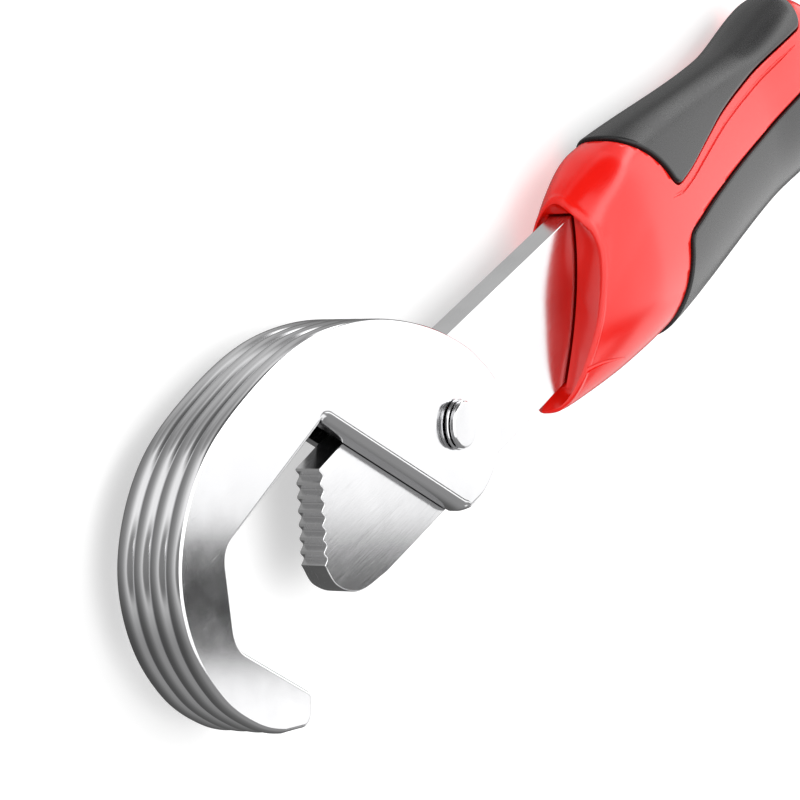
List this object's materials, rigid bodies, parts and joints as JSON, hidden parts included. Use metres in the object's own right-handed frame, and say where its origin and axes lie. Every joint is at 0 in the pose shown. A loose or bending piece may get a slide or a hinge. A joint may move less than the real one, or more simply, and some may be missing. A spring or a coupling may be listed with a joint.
{
  "type": "pipe wrench",
  "caption": "Self-adjusting hook-jaw wrench: a ribbed steel hook pivots on a toothed flat blade with a two-tone moulded handle.",
  "frame": {"origin": "centre of the bounding box's bottom face, with the tool lying on its side", "axes": "+X along the handle to its tail, +Y towards the hook's back, +Z along the rivet's axis"},
  "size_m": [0.287, 0.0614, 0.0235],
  "materials": {
    "polished_steel": "polished nickel-chrome plated forging with satin ribs",
    "blade_steel": "polished flat bar with ground edges",
    "pin_steel": "polished rivet and washers",
    "spring_steel": "dark oiled spring wire",
    "red_plastic": "glossy red hard plastic",
    "black_rubber": "satin black soft moulding"
  },
  "bodies": {
    "lever": {"lever_blade": "blade_steel", "handle_core": "red_plastic", "upper_grip": "black_rubber", "lower_grip": "black_rubber"},
    "hook": {"hook_jaw": "polished_steel", "pivot_rivet": "pin_steel", "rivet_washer_near": "pin_steel", "rivet_washer_far": "pin_steel", "jaw_spring": "spring_steel"}
  },
  "joints": [
    {"name": "hook_pivot", "type": "hinge", "parent": "lever", "child": "hook", "pos_m": [-0.05255, -0.00592, 0.01175], "axis": [0, 0, 1], "range_deg": [-20, 25], "stiffness_Nm_per_rad": 0.05, "deforming": ["jaw_spring"]}
  ]
}
